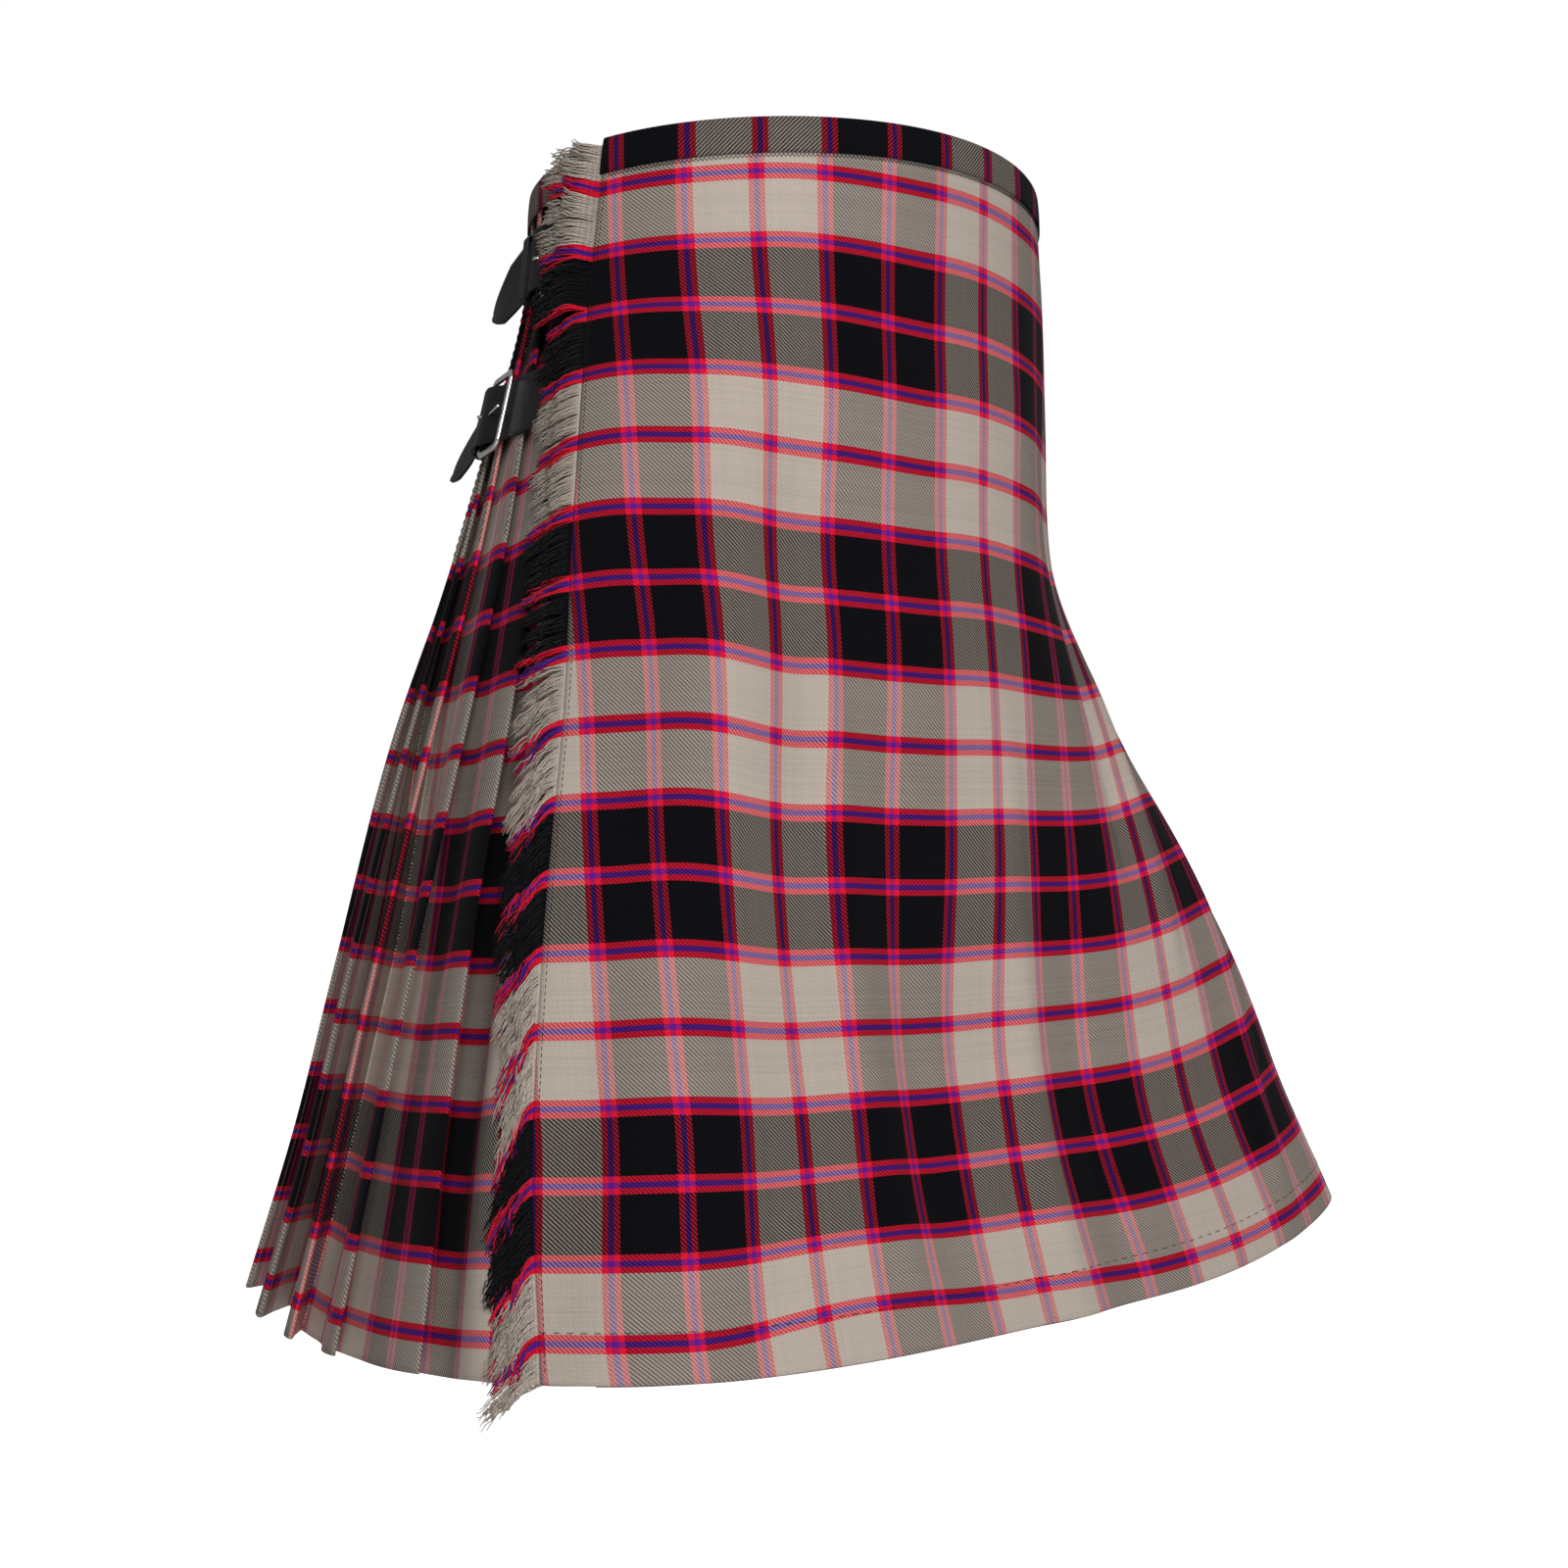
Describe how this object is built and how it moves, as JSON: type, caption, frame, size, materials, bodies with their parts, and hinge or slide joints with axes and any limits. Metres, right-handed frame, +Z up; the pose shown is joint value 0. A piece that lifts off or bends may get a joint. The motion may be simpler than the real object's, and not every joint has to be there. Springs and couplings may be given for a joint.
{
  "type": "scottish kilt",
  "caption": "Worn knee-length kilt in checked wool: crossed flat front aprons with a fringed edge, knife pleats behind, and buckled leather straps at the hips.",
  "frame": {"origin": "centre of the waist opening, in the plane of the waistband's top edge", "axes": "+Z up, the wearer faces -Y, the wearer's right hand is at -X"},
  "size_m": [0.6133, 0.5504, 0.623],
  "materials": {
    "tartan_wool": "2/2 twill wool in a four-block check of stone and near-black, with red and blue lines",
    "band_wool": "the same twill, cut where the weft is near-black, folded over the top edge",
    "fringe_wool": "unravelled wool yarn in the colours of the check",
    "strap_leather": "black grained leather, semi-matt",
    "nickel": "polished nickel plate"
  },
  "bodies": {
    "root": {"apron_over": "tartan_wool", "apron_under": "tartan_wool", "pleats_right": "tartan_wool", "pleats_back": "tartan_wool", "pleats_left": "tartan_wool", "waistband_over": "band_wool", "waistband_under": "band_wool", "waistband_back": "band_wool", "fringe_outer": "fringe_wool", "fringe_inner": "fringe_wool", "strap_right_upper": "strap_leather", "buckle_frame_right_upper": "nickel", "buckle_prong_right_upper": "nickel", "buckle_chape_right_upper": "strap_leather", "keeper_right_upper": "strap_leather", "strap_right_lower": "strap_leather", "buckle_frame_right_lower": "nickel", "buckle_prong_right_lower": "nickel", "buckle_chape_right_lower": "strap_leather", "keeper_right_lower": "strap_leather", "strap_left": "strap_leather", "buckle_frame_left": "nickel", "buckle_prong_left": "nickel", "buckle_chape_left": "strap_leather", "keeper_left": "strap_leather"}
  },
  "joints": []
}
